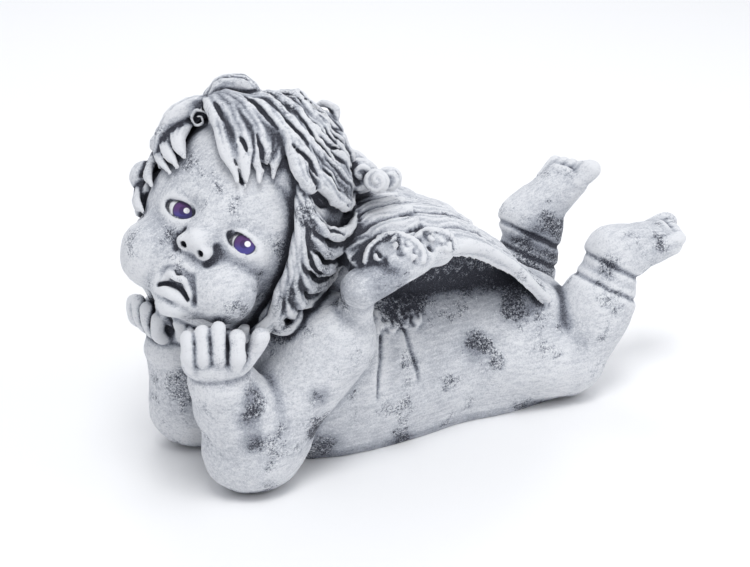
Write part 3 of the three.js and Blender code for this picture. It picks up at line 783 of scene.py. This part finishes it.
def model_rosette(clay, side, centre, radii, turn):
    """A carved shell of leaves with beads round its upper edge."""
    middle = on_side(side, centre)
    outward = unit(on_side(side, (-0.35, -0.85, 0.45)))
    ahead = unit(np.cross(outward, (0, 0, 1))) * side
    rise = np.cross(outward, ahead)
    rise = rise if rise[2] > 0 else -rise
    clay.add(Ball(middle, radii, (ahead, outward, rise)), 1.5)

    def at(share, angle, lift=0.0):
        flat = ahead * math.cos(angle) * radii[0] + rise * math.sin(angle) * radii[2]
        return middle + flat * share + outward * (radii[1] * math.sqrt(max(0, 1 - share**2)) + lift)

    for angle in np.linspace(-0.2, math.pi + 0.2, 18):
        clay.add(Ball(at(0.9, angle, 1.0), 2.2), 0.5)
    random = np.random.RandomState(round(radii[0]))
    for n in range(15):
        share, angle = math.sqrt(random.uniform(0.0, 0.5)), random.uniform(-0.6, math.pi + 0.6)
        turn, length = random.uniform(0.3, 1.5) + turn * 0.2, random.uniform(2.5, 4.5)
        x, y = share * math.cos(angle), share * math.sin(angle)
        stroke = []
        for t in (-1, -0.3, 0.4, 1):
            step = length * t / radii[0]
            here = np.array([x + step * math.cos(turn + t * 0.6), y + step * math.sin(turn + t * 0.6)])
            stroke.append(at(min(np.hypot(*here), 0.85), math.atan2(here[1], here[0]), 0.4 if n % 3 else 0.9))
        form = Limb(stroke, [0.6, 1.5, 1.5, 0.6], steps=8)
        (clay.cut if n % 3 else clay.add)(form, 0.8)


def model_wing(clay, side):
    clay.add(Wing(side), 2)
    clay.add(Limb([on_side(side, p) for p in Wing.edge], [12.5, 10.5, 5.0, 3.2, 2.8], steps=24), 3)
    clay.add(Limb([on_side(side, (-52, -60, 122)), on_side(side, (-52, -52, 98))], [11, 12], facing=(1, 0, 0)), 4)
    model_rosette(clay, side, (-30, -66, 145), (20, 15, 16), 0.0)
    model_rosette(clay, side, (-1, -66, 146), (15, 12, 12), 1.3)


FLANK_GROOVES = (
    ((-16.5, -32, 84), (-22, -41.5, 72.5), (-27, -46.5, 57.5), (-29.5, -48, 43)),
    ((-1, -32, 83), (1, -39.5, 73), (2.5, -44, 60), (3.5, -47, 46)),
)


def round_crease(clay, centre, axis):
    """A fold of skin all round a limb."""
    axis = unit(axis)
    side = unit(np.cross(axis, (0, 0, 1)))
    path = []
    for turn in np.linspace(0, 2 * math.pi, 25):
        out = side * math.cos(turn) + np.cross(axis, side) * math.sin(turn)
        path.append(clay.settle(centre + 42 * out, -out))
    clay.cut(Limb(path, [1.5, 1.5], away_from=centre, steps=48), 2.5)


def model_creases(clay):
    """Grooves in the flanks, and the leaves and small curls carved under each wing."""
    for side, ankle in ((1, LEFT_ANKLE), (-1, RIGHT_ANKLE)):
        joint = on_side(side, KNEE)
        for share in (0.74, 0.93):
            round_crease(clay, between(joint, ankle, share), ankle - joint)
    random = np.random.RandomState(3)
    curls = [(random.uniform(-28, 15), random.uniform(-6, 15), random.uniform(1.6, 3.2), random.uniform(0, 6))
             for _ in range(46)]
    for side in (1, -1):
        inward = (0, side, -0.2)

        def on_flank(x, z):
            return clay.settle((x, side * -75, z + 7), inward)

        for groove in FLANK_GROOVES:
            wander = [on_side(side, p) + (0.8 * math.sin(3 * n), 0, 0) for n, p in enumerate(groove)]
            clay.cut(Limb(wander, [1.0, 1.6, 1.3, 0.5], steps=12), 2.5)
        for n, x in enumerate(np.linspace(-10, 86, 11)):
            top = 121 - 0.16 * (x + 10) + 2 * math.sin(2 * n)
            for slant in (-6, -1.5, 3, 7.5):
                leaf = [on_flank(x + slant * t, top - 10 * t) for t in (0, 0.35, 0.7, 1)]
                clay.cut(Limb(leaf, [0.4, 1.1, 0.9, 0.3], facing=(0, side, 0), steps=6), 1)
        for across, drop, radius, start in curls:
            path = [on_flank(across + math.cos(a) * radius, 96 - drop + math.sin(a) * radius)
                    for a in np.linspace(start, start + 4.4, 8)]
            clay.add(Limb(path, [0.8, 1.4, 0.7], facing=(0, side, 0), steps=10), 0.5)


# Places painted darker, each a place, a radius and how dark. Most are painted shade: in the armpits, knee pits and
# ankle creases, under the wings, the chin and the far foot, round the back of the head and where the body meets the
# floor. A few, on the forearm and a cheek, are the brush's own dark stippling.
SHADE_AND_DARK_PATCHES = (
    ((162, 24, 84), 31, 1.0),
    ((158, 36, 100), 12, 0.5),
    ((12, -20, 102), 21, 1.2),
    ((38, -24, 110), 23, 1.2),
    ((66, -22, 104), 23, 1.2),
    ((90, -28, 90), 15, 1.0),
    ((2, -26, 91), 17, 1.0),
    ((52, -44, 59), 13, 0.8),
    ((66, -48, 44), 9, 0.5),
    ((86, -42, 77), 13, 0.8),
    ((100, -48, 76), 9, 0.6),
    ((-130, -64, 78), 10, 0.8),
    ((-133, -66, 64), 10, 0.9),
    ((-131, -66, 48), 10, 0.8),
    ((-84, -66, 66), 9, 0.8),
    ((-84, -60, 42), 11, 0.9),
    ((-66, -46, 12), 16, 0.9),
    ((-7, -42, 3), 14, 0.6),
    ((128, -50, 60), 9, 0.4),
    ((132, -60, 50), 8, 0.4),
    ((162, -52, 103), 9, 0.5),
    ((155, -54, 91), 10, 0.5),
    ((200, -56, 104), 10, 0.5),
    ((-130, 0, 50), 30, 0.6),
    (on_head(80, -4, 8), 28, 0.5),
    (on_head(60, 8, 8), 14, 0.5),
    (in_face(36, 46, -40), 24, 0.4),
    (in_face(50, -26, -38), 18, 0.35),
)


# How much darker each point is painted from the listed places: mostly painted shade, with some dark brush patches.
def shade_and_dark_patches(points):
    total = np.zeros(len(points))
    for centre, radius, dark in SHADE_AND_DARK_PATCHES:
        away = np.linalg.norm(points - np.array(centre, float), axis=1) / radius
        total += dark * smooth_step(-away, -1.25, -0.25)
    return np.minimum(total, 1.15)


def on_hair_locks(points):
    """1 on the hair and 0 on the skin."""
    forward, left, up = ((points - SKULL_CENTRE) @ HEAD_AXES.T).T
    size = np.sqrt(forward**2 + left**2 + up**2)
    cover = face_cover(np.degrees(np.arctan2(left, forward)), np.degrees(np.arcsin(up / size)))
    tall = np.linalg.norm((points - SKULL_CENTRE) @ HEAD_AXES.T / SKULL, axis=1)
    high = smooth_step(-points[:, 0], 20, 40) * smooth_step(points[:, 2], 118, 128)
    return smooth_step(tall, 1.04, 1.12) * smooth_step(cover, 0.85, 1.0) * high


def uneven(points):
    """Shifts of the skin that keep the casting from looking machined."""
    random = np.random.RandomState(11)
    head = on_hair_locks(points)
    shift = np.zeros_like(points)
    for size, amount, on_hair in ((24, 0.32, 0.1), (11, 0.15, 0.22), (5, 0.10, 0.1)):
        for _ in range(6):
            wave = unit(random.normal(size=3)) * 2 * math.pi / (size * random.uniform(0.75, 1.3))
            push = random.normal(size=3) * 0.4
            swing = np.sin(points @ wave + random.uniform(0, 6.3))
            shift += (swing * (amount + on_hair * head))[:, None] * push
    return shift


def model_figure(step):
    clay = Clay((-186, -90, -4), (242, 90, 258), step)
    model_trunk(clay)
    for side, palm in ((1, LEFT_PALM), (-1, RIGHT_PALM)):
        model_arm(clay, side, palm)
    for side, ankle in ((1, LEFT_ANKLE), (-1, RIGHT_ANKLE)):
        model_leg(clay, side, ankle)
    clay.soften(3.2)
    model_foot(clay, LEFT_ANKLE, (160, -43, 116), (228, -46, 112), (0.06, -0.1, 1), 1)
    model_foot(clay, RIGHT_ANKLE, (142, 41, 109), (202, 37, 143), (-0.44, -0.2, 0.87), -1)
    model_creases(clay)
    for side in (1, -1):
        model_wing(clay, side)
    model_face(clay)
    model_hand(clay, LEFT_PALM, (0.84, -0.54, 0), (-0.1, 0, 1), ((-14.6, 12), (-5.7, 15.5), (3.4, 17.5), (14, 12.5)))
    model_hand(clay, RIGHT_PALM, (0.1, -1, -0.1), (-0.46, -0.36, 0.81), ((-16, 12), (-6.5, 17), (3.5, 17), (13, 12)))
    model_hair(clay)
    clay.level()
    return clay


class Wire:
    """A shader value. Sums written with it add their own Math nodes."""

    def __init__(self, tree, socket):
        self.tree, self.socket = tree, socket

    def node(self, kind, settings=(), values=()):
        """A node of any kind, with its settings made first and then its sockets filled or linked."""
        made = self.tree.nodes.new(kind)
        for name, value in dict(settings).items():
            if name == "stops":
                ramp = made.color_ramp
                for n, (place, shade) in enumerate(value):
                    stop = ramp.elements[n] if n < 2 else ramp.elements.new(place)
                    stop.position, stop.color = place, shade
            else:
                setattr(made, name, value)
        for name, value in dict(values).items():
            if isinstance(value, Wire):
                self.tree.links.new(value.socket, made.inputs[name])
            else:
                made.inputs[name].default_value = value
        return made

    def wire(self, kind, settings=(), values=(), out=0):
        return Wire(self.tree, self.node(kind, settings, values).outputs[out])

    def maths(self, operation, *values):
        return self.wire("ShaderNodeMath", {"operation": operation}, dict(enumerate(values)))

    def __add__(self, other):
        return self.maths("ADD", self, other)

    def __sub__(self, other):
        return self.maths("SUBTRACT", self, other)

    def __mul__(self, other):
        return self.maths("MULTIPLY", self, other)

    def __rsub__(self, other):
        return self.maths("SUBTRACT", other, self)

    __radd__ = __add__
    __rmul__ = __mul__

    def least(self, other):
        return self.maths("MINIMUM", self, other)

    def most(self, other):
        return self.maths("MAXIMUM", self, other)

    def rise(self, low, high):
        """0 below low and 1 above high, or the reverse if low is the higher."""
        settings = {"interpolation_type": "SMOOTHSTEP"}
        return self.wire("ShaderNodeMapRange", settings, {"Value": self, "From Min": low, "From Max": high})

    def over(self, colour, mask):
        """This colour, with another laid over it where mask is 1."""
        settings = {"data_type": "RGBA", "clamp_factor": True}
        return self.wire("ShaderNodeMix", settings, {0: mask, 6: self, 7: colour}, 2)

    def turned(self, operation, other, out=0):
        return self.wire("ShaderNodeVectorMath", {"operation": operation}, {0: self, 1: other}, out)

    def noise(self, scale, detail=3.0, rough=0.55, stretch=(1, 1, 1)):
        place = self.turned("MULTIPLY", stretch) if stretch != (1, 1, 1) else self
        values = {"Vector": place, "Scale": scale, "Detail": detail, "Roughness": rough}
        return self.wire("ShaderNodeTexNoise", {}, values, 0)


def painted_stone(colours):
    """Pale dry-brushed stone over charcoal that stays in the recesses, with painted shade in the hollows, the creases
    and under the wings, and painted eyes.
    """
    material = bpy.data.materials.new("putto_stone")
    material.use_nodes = True
    tree = material.node_tree
    shader = tree.nodes["Principled BSDF"]
    start = Wire(tree, None)
    place = start.wire("ShaderNodeTexCoord", out=3)
    crevice = start.wire("ShaderNodeAttribute", {"attribute_name": "crevice"}, out=2)
    hollow = start.wire("ShaderNodeAttribute", {"attribute_name": "hollow"}, out=2)
    stain = start.wire("ShaderNodeAttribute", {"attribute_name": "stain"}, out=2)
    hair = start.wire("ShaderNodeAttribute", {"attribute_name": "hair"}, out=2)
    grain = place.noise(1500, 2, 0.6)
    speck = place.noise(700, 4, 0.8)
    patch = place.noise(42, 3, 0.6)
    cloud = place.noise(16, 2, 0.5)
    strokes = place.noise(420, 3, 0.7, (0.2, 1, 1))
    # Thinner brushing comes in patches, and a little more of it at the painted shade and dark patches.
    thin = (patch + stain * 0.2).rise(0.54, 0.68)
    broken = (speck - 0.5) * (0.8 + thin * 2.6) + (grain - 0.5) * (0.5 + thin) + (strokes - 0.5) * (0.35 + thin * 0.6)
    # Painted shade along with the wash in deep hollows: the more the clay closes round a point, the darker it is
    # painted.
    recess_shade_and_wash = (hollow - 0.31).most(0.0)
    # How much pale paint covers the charcoal: less in crevices, where the wash stays, and less in deep hollows and at
    # the listed dark places, which is painted shade, all broken by the brush. brushed is where the pale paint shows.
    cover = 0.89 - (crevice + 0.03).most(-0.1) * (3.4 + hair * 2.2) - recess_shade_and_wash * 1.7
    cover = cover - stain * 0.48 - thin * 0.2 - hair * 0.4
    cover = cover + broken + (cloud - 0.5) * 0.4
    brushed = cover.rise(0.16, 0.70)
    caught = (cover + (strokes - 0.5) * 0.4).rise(0.72, 1.2)
    body = start.wire("ShaderNodeRGB")
    body.socket.default_value = (*colours.tint, 1)
    paint = body.over((*colours.stone, 1), cover.rise(0.4, 0.95))
    paint = paint.over((*colours.highlight, 1), caught)
    wash = start.wire("ShaderNodeRGB")
    wash.socket.default_value = (*colours.wash, 1)
    wash = wash.over((*colours.tint, 1), (grain.rise(0.5, 0.75) * 0.35))
    # Pale paint where brushed is high. Elsewhere the charcoal shows: the wash in the crevices, and painted shade in the
    # deep hollows and the listed dark places.
    paint = wash.over(paint, brushed)
    for side in (1, -1):
        centre = in_face(EYE_FORWARD, side * EYE_APART, EYE_UP)
        offset = place.turned("SUBTRACT", tuple((centre + FIGURE_ORIGIN) * MM))
        across = offset.turned("DOT_PRODUCT", tuple(EARWARD), 1) * (1 / MM)
        above = offset.turned("DOT_PRODUCT", tuple(CROWN), 1) * (1 / MM)
        ahead = offset.turned("DOT_PRODUCT", tuple(GAZE), 1) * (1 / MM)
        away = (across * across + above * above + ahead * ahead).maths("SQRT", across * across + above * above + ahead * ahead)
        on_eye = away.rise(EYE_RADIUS + 0.75, EYE_RADIUS + 0.45) * ahead.rise(2.0, 3.0)
        beside, over_it = across - IRIS_TURN, above - 0.5
        radius = (beside * beside + over_it * over_it).maths("SQRT", beside * beside + over_it * over_it)
        # Dark line along the lids and at the eye's corners: partly the painted lash line and partly painted shadow of
        # the lids, taken from the crevices round the eye.
        lash_and_lid_shadow = crevice.rise(0.02, 0.12)
        white = start.wire("ShaderNodeRGB")
        white.socket.default_value = (*colours.highlight, 1)
        white = white.over((*colours.wash, 1), (lash_and_lid_shadow + (speck - 0.5) * 0.8) * 0.9)
        hue = start.wire("ShaderNodeRGB")
        hue.socket.default_value = (*colours.iris, 1)
        hue = hue.over((*colours.iris_low, 1), (over_it * -1 + beside * 0.6).rise(-2.5, 4.0))
        hue = hue.over((*colours.wash, 1), radius.rise(5.2, 6.6) * 0.8 + lash_and_lid_shadow * 0.5)
        hue = hue.over((0.015, 0.012, 0.04, 1), radius.rise(2.8, 2.2) * 0.45)
        eye = white.over(hue, radius.rise(6.8, 6.3))
        dx, dy = beside - 1.7, over_it - 1.0
        eye = eye.over((0.9, 0.9, 0.92, 1), (dx * dx + dy * dy).rise(3.6, 2.4))
        paint = paint.over(eye, on_eye)
    tree.links.new(paint.socket, shader.inputs["Base Color"])
    rough = 0.84 + (speck - 0.5) * 0.3 - brushed * 0.06
    tree.links.new(rough.socket, shader.inputs["Roughness"])
    height = grain * 0.3 + speck * 0.8 + strokes * 0.6 + brushed * 0.4
    bump = start.wire("ShaderNodeBump", {}, {"Strength": 0.8, "Distance": 0.0008, "Height": height})
    tree.links.new(bump.socket, shader.inputs["Normal"])
    shader.inputs["Specular IOR Level"].default_value = 0.3
    return material


class PuttoSizes(bpy.types.PropertyGroup):
    clay_step: bpy.props.FloatProperty(
        name="Clay step", description="Spacing of the points that the figure is modelled on",
        default=1.1 * MM, min=0.6 * MM, max=4 * MM, unit="LENGTH", subtype="DISTANCE", precision=5)
    most_faces: bpy.props.IntProperty(
        name="Most triangles", description="The figure is thinned to this many triangles", default=196000)
    floor_width: bpy.props.FloatProperty(
        name="Floor width", description="Width of the floor around the figure", default=30.0, unit="LENGTH",
        subtype="DISTANCE")


class PuttoColours(bpy.types.PropertyGroup):
    stone: bpy.props.FloatVectorProperty(
        name="Stone", description="The brushed stone", default=(0.50, 0.52, 0.56), subtype="COLOR", size=3)
    highlight: bpy.props.FloatVectorProperty(
        name="Highlight", description="Stone where the brush caught the raised carving",
        default=(0.76, 0.77, 0.79), subtype="COLOR", size=3)
    tint: bpy.props.FloatVectorProperty(
        name="Tint", description="Cooler, thinner brushing", default=(0.27, 0.29, 0.34), subtype="COLOR", size=3)
    # The charcoal of the wash, also used as painted shade in the hollows, under the wings and where the body meets the
    # floor.
    wash: bpy.props.FloatVectorProperty(
        name="Wash", description="The charcoal left in the recesses", default=(0.04, 0.042, 0.055),
        subtype="COLOR", size=3)
    iris: bpy.props.FloatVectorProperty(
        name="Iris", description="Upper part of the painted irises", default=(0.11, 0.05, 0.17),
        subtype="COLOR", size=3)
    iris_low: bpy.props.FloatVectorProperty(
        name="Lower iris", description="Lower, bluer part of the irises", default=(0.08, 0.07, 0.28),
        subtype="COLOR", size=3)
    floor: bpy.props.FloatVectorProperty(
        name="Floor", description="The plain floor", default=(0.93, 0.93, 0.93), subtype="COLOR", size=3)


class PUTTO_OT_figure(bpy.types.Operator):
    """Model and paint the putto"""

    bl_idname = "putto.figure"
    bl_label = "Putto"

    def execute(self, context):
        sizes = context.scene.putto_sizes
        step = sizes.clay_step / MM
        clay = model_figure(step)
        points, quads = largest_piece(*clay.surface())
        if len(quads) < 1000:
            raise RuntimeError("the clay gave no figure")
        piece = bpy.data.objects.new("putto_carved", self.skin(points, quads))
        context.scene.collection.objects.link(piece)
        mesh = self.thinned(context, piece, min(1.0, sizes.most_faces / (2 * len(quads))))
        points, normals = self.read(mesh.vertices, "co") / MM, self.read(mesh.vertices, "normal")
        filled = np.clip(0.5 - clay.field / clay.step, 0, 1)
        self.keep(mesh, "crevice", clay.sample(clay.blurred(filled, 2.6), points + normals * 0.2) - 0.5)
        # The floor counts as mostly filled, so hollow also grows where the body meets the floor, and the paint darkens
        # there as painted shade.
        filled[:, :, clay.grid.axes[2] < 0] = 0.8
        self.keep(mesh, "hollow", clay.sample(clay.blurred(filled, 9), points + normals * 4))
        self.keep(mesh, "stain", shade_and_dark_patches(points))
        self.keep(mesh, "hair", on_hair_locks(points))
        points += uneven(points)
        low, high = [np.array(corner) / MM - FIGURE_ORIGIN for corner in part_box("putto")]
        mesh.vertices.foreach_set("co", ((np.clip(points, low, high) + FIGURE_ORIGIN) * MM).ravel())
        mesh.polygons.foreach_set("use_smooth", np.ones(len(mesh.polygons), bool))
        mesh.update()
        mesh.materials.clear()
        mesh.materials.append(painted_stone(context.scene.putto_colours))
        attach(piece, "root")
        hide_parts("putto")
        return {"FINISHED"}

    @staticmethod
    def skin(points, quads):
        mesh = bpy.data.meshes.new("clay")
        mesh.vertices.add(len(points))
        mesh.vertices.foreach_set("co", (points * MM).ravel())
        mesh.loops.add(quads.size)
        mesh.loops.foreach_set("vertex_index", quads.ravel())
        mesh.polygons.add(len(quads))
        mesh.polygons.foreach_set("loop_start", np.arange(0, quads.size, 4))
        mesh.update(calc_edges=True)
        return mesh

    @staticmethod
    def thinned(context, piece, share):
        """Smooths the skin a little and thins it to a share of its triangles."""
        smooth = piece.modifiers.new("smooth", "SMOOTH")
        smooth.factor = 0.4
        smooth.iterations = 1
        thin = piece.modifiers.new("thin", "DECIMATE")
        thin.ratio = share
        thin.use_collapse_triangulate = True
        mesh = bpy.data.meshes.new_from_object(piece.evaluated_get(context.evaluated_depsgraph_get()))
        piece.modifiers.clear()
        piece.data = mesh
        mesh.name = "putto_carved"
        return mesh

    @staticmethod
    def read(items, name):
        values = np.zeros(len(items) * 3)
        items.foreach_get(name, values)
        return values.reshape(-1, 3)

    @staticmethod
    def keep(mesh, name, values):
        layer = mesh.attributes.new(name, "FLOAT", "POINT")
        layer.data.foreach_set("value", values.astype(np.float32))


CAMERA_AZIMUTH, CAMERA_ELEVATION = math.radians(33), math.radians(22)
CAMERA_DISTANCE = 1.1
CAMERA_TARGET = np.array([0.0, 0.0, 100.0])
CAMERA_LENS = 79.2


class PUTTO_OT_stage(bpy.types.Operator):
    """Set up the floor, the light and the camera"""

    bl_idname = "putto.stage"
    bl_label = "Floor, light and camera"

    def execute(self, context):
        scene = context.scene
        half = scene.putto_sizes.floor_width / 2
        mesh = bpy.data.meshes.new("floor")
        mesh.from_pydata([(-half, -half, 0), (half, -half, 0), (half, half, 0), (-half, half, 0)], [], [(0, 1, 2, 3)])
        floor = bpy.data.objects.new("floor", mesh)
        scene.collection.objects.link(floor)
        finish = bpy.data.materials.new("floor")
        finish.use_nodes = True
        shader = finish.node_tree.nodes["Principled BSDF"]
        shader.inputs["Base Color"].default_value = (*scene.putto_colours.floor, 1)
        shader.inputs["Roughness"].default_value = 0.9
        mesh.materials.append(finish)
        target = Vector((CAMERA_TARGET + FIGURE_ORIGIN) * MM)
        lights = (
            ("key", (-0.45, -0.8, 2.1), 0.9, 21.0),
            ("fill", (1.2, -1.4, 1.0), 1.6, 7.0),
            ("back", (0.6, 1.4, 1.6), 1.2, 8.0),
        )
        for name, place, width, power in lights:
            data = bpy.data.lights.new(name, "AREA")
            data.shape = "DISK"
            data.size = width
            data.energy = power
            lamp = bpy.data.objects.new(name, data)
            lamp.location = target + Vector(place)
            lamp.rotation_mode = "QUATERNION"
            lamp.rotation_quaternion = (target - lamp.location).to_track_quat("-Z", "Y")
            scene.collection.objects.link(lamp)
        world = bpy.data.worlds.new("studio")
        world.use_nodes = True
        world.node_tree.nodes["Background"].inputs["Color"].default_value = (0.93, 0.95, 1.0, 1)
        world.node_tree.nodes["Background"].inputs["Strength"].default_value = 0.72
        scene.world = world
        scene.view_settings.view_transform = "Standard"
        sight = Vector((
            math.sin(CAMERA_AZIMUTH) * math.cos(CAMERA_ELEVATION),
            math.cos(CAMERA_AZIMUTH) * math.cos(CAMERA_ELEVATION),
            -math.sin(CAMERA_ELEVATION),
        ))
        data = bpy.data.cameras.new("camera")
        data.lens = CAMERA_LENS
        data.sensor_width = 36
        camera = bpy.data.objects.new("camera", data)
        camera.location = target - sight * CAMERA_DISTANCE
        camera.rotation_mode = "QUATERNION"
        camera.rotation_quaternion = sight.to_track_quat("-Z", "Y")
        scene.collection.objects.link(camera)
        scene.camera = camera
        return {"FINISHED"}


class PUTTO_PT_panel(bpy.types.Panel):
    """The putto's sizes and colours, with buttons that build it"""

    bl_idname = "PUTTO_PT_panel"
    bl_label = "Cast stone putto"
    bl_space_type = "VIEW_3D"
    bl_region_type = "UI"
    bl_category = "Putto"

    def draw(self, context):
        layout = self.layout
        for group in (context.scene.putto_sizes, context.scene.putto_colours):
            for name in group.bl_rna.properties.keys():
                if name not in ("rna_type", "name"):
                    layout.prop(group, name)
        layout.operator(PUTTO_OT_stage.bl_idname)
        layout.operator(PUTTO_OT_figure.bl_idname)


CLASSES = (PuttoSizes, PuttoColours, PUTTO_OT_stage, PUTTO_OT_figure, PUTTO_PT_panel)


def register():
    for cls in CLASSES:
        bpy.utils.register_class(cls)
    bpy.types.Scene.putto_sizes = bpy.props.PointerProperty(type=PuttoSizes)
    bpy.types.Scene.putto_colours = bpy.props.PointerProperty(type=PuttoColours)


def unregister():
    del bpy.types.Scene.putto_colours
    del bpy.types.Scene.putto_sizes
    for cls in reversed(CLASSES):
        bpy.utils.unregister_class(cls)


def main():
    register()
    bpy.ops.putto.stage()
    bpy.ops.putto.figure()
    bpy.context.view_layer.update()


if __name__ == "__main__":
    main()
